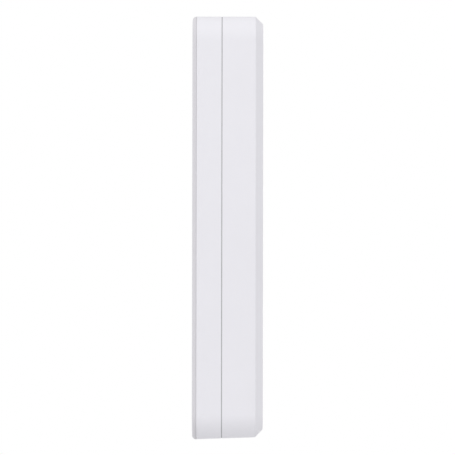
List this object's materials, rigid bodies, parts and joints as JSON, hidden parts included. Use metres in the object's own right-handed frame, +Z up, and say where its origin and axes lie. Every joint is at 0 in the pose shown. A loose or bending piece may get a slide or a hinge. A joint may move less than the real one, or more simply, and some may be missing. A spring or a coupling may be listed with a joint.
{
  "type": "video doorbell",
  "caption": "Slim upright video doorbell: white two-part shell with a chamfered face, camera window, push button with light ring and speaker slots, hung on a hooked wall plate.",
  "frame": {"origin": "middle of the wall plate's back face, which lies on the wall", "axes": "+Z up, +Y into the wall, so the button and camera face -Y; X runs across the width"},
  "size_m": [0.048, 0.0223, 0.134],
  "materials": {
    "white_shell": "fine satin",
    "plate_plastic": "soft gloss",
    "foam": "open cell",
    "dark_rubber": "matt",
    "seal_rubber": "matt",
    "black_panel": "polished",
    "dark_metal": "fine turned",
    "lens_glass": "coated",
    "black_plastic": "matt",
    "filter_glass": "coated",
    "chip": "moulded",
    "circuit_board": "solder mask",
    "lamp_resin": "moulded",
    "connector_plastic": "moulded",
    "milky_lens": "satin",
    "can_steel": "stamped",
    "clear_pipe": "polished",
    "ring_diffuser": "frosted",
    "button_plastic": "satin",
    "silicone": "matt",
    "magnet_metal": "plated",
    "cone_film": "pressed film",
    "copper_wire": "enamelled",
    "dark_mesh": "woven",
    "brass_contact": "stamped",
    "thermal_pad": "soft",
    "heat_aluminium": "stamped",
    "ferrite": "sintered",
    "capacitor_sleeve": "sleeved",
    "cell_wrap": "foil",
    "screw_steel": "plated",
    "antenna_film": "printed"
  },
  "bodies": {
    "bracket": {"wall_plate": "plate_plastic", "cable_foam": "foam"},
    "doorbell": {"antennas": "antenna_film", "backup_cell": "cell_wrap", "board_connectors": "connector_plastic", "bridge_rectifier": "chip", "button_board": "circuit_board", "button_return_pad": "silicone", "button_stand": "connector_plastic", "button_switch": "black_plastic", "camera_board": "circuit_board", "camera_frame": "black_plastic", "camera_panel": "black_panel", "can_pad": "thermal_pad", "chip_pad": "thermal_pad", "filter_housing": "black_plastic", "front_housing": "white_shell", "heat_spreader": "heat_aluminium", "housing_screws": "screw_steel", "image_sensor": "chip", "ir_lamps": "lamp_resin", "lamp_board": "circuit_board", "lens_barrel": "black_plastic", "lens_cover": "lens_glass", "lens_element": "lens_glass", "lens_ring": "dark_metal", "light_pipes": "clear_pipe", "light_ring": "ring_diffuser", "locking_screw": "screw_steel", "main_board": "circuit_board", "microphone": "can_steel", "microphone_boot": "dark_rubber", "motion_lens": "milky_lens", "motion_sensor": "can_steel", "port_plug": "dark_rubber", "power_capacitors": "capacitor_sleeve", "power_inductor": "ferrite", "processor_and_memory": "chip", "rear_housing": "white_shell", "reset_switch": "chip", "ring_lamps": "lamp_resin", "seam_gasket": "seal_rubber", "service_port": "can_steel", "shield_can": "can_steel", "speaker_cone": "cone_film", "speaker_contacts": "brass_contact", "speaker_frame": "black_plastic", "speaker_gasket": "foam", "speaker_magnet": "magnet_metal", "speaker_mesh": "dark_mesh", "speaker_surround": "dark_rubber", "status_light_and_sensor": "chip", "terminal_bushes": "brass_contact", "terminal_screws": "screw_steel", "voice_coil": "copper_wire"},
    "button": {"button_cap": "button_plastic", "switch_plunger": "black_plastic"},
    "reset": {"reset_button": "black_plastic"},
    "night_filter": {"ir_cut_filter": "filter_glass"}
  },
  "joints": [
    {"name": "doorbell_lift", "type": "slide", "parent": "bracket", "child": "doorbell", "axis": [0, 0, 1], "range_m": [0, 0.005]},
    {"name": "button_press", "type": "slide", "parent": "doorbell", "child": "button", "axis": [0, 1, 0], "range_m": [0, 0.0008], "stiffness_N_per_m": 1500, "springref_m": -0.0008, "deforming": ["button_return_pad"]},
    {"name": "reset_press", "type": "slide", "parent": "doorbell", "child": "reset", "axis": [0, -1, 0], "range_m": [0, 0.0004], "stiffness_N_per_m": 2000, "springref_m": -0.0003},
    {"name": "filter_shift", "type": "slide", "parent": "doorbell", "child": "night_filter", "axis": [1, 0, 0], "range_m": [0, 0.005]}
  ]
}
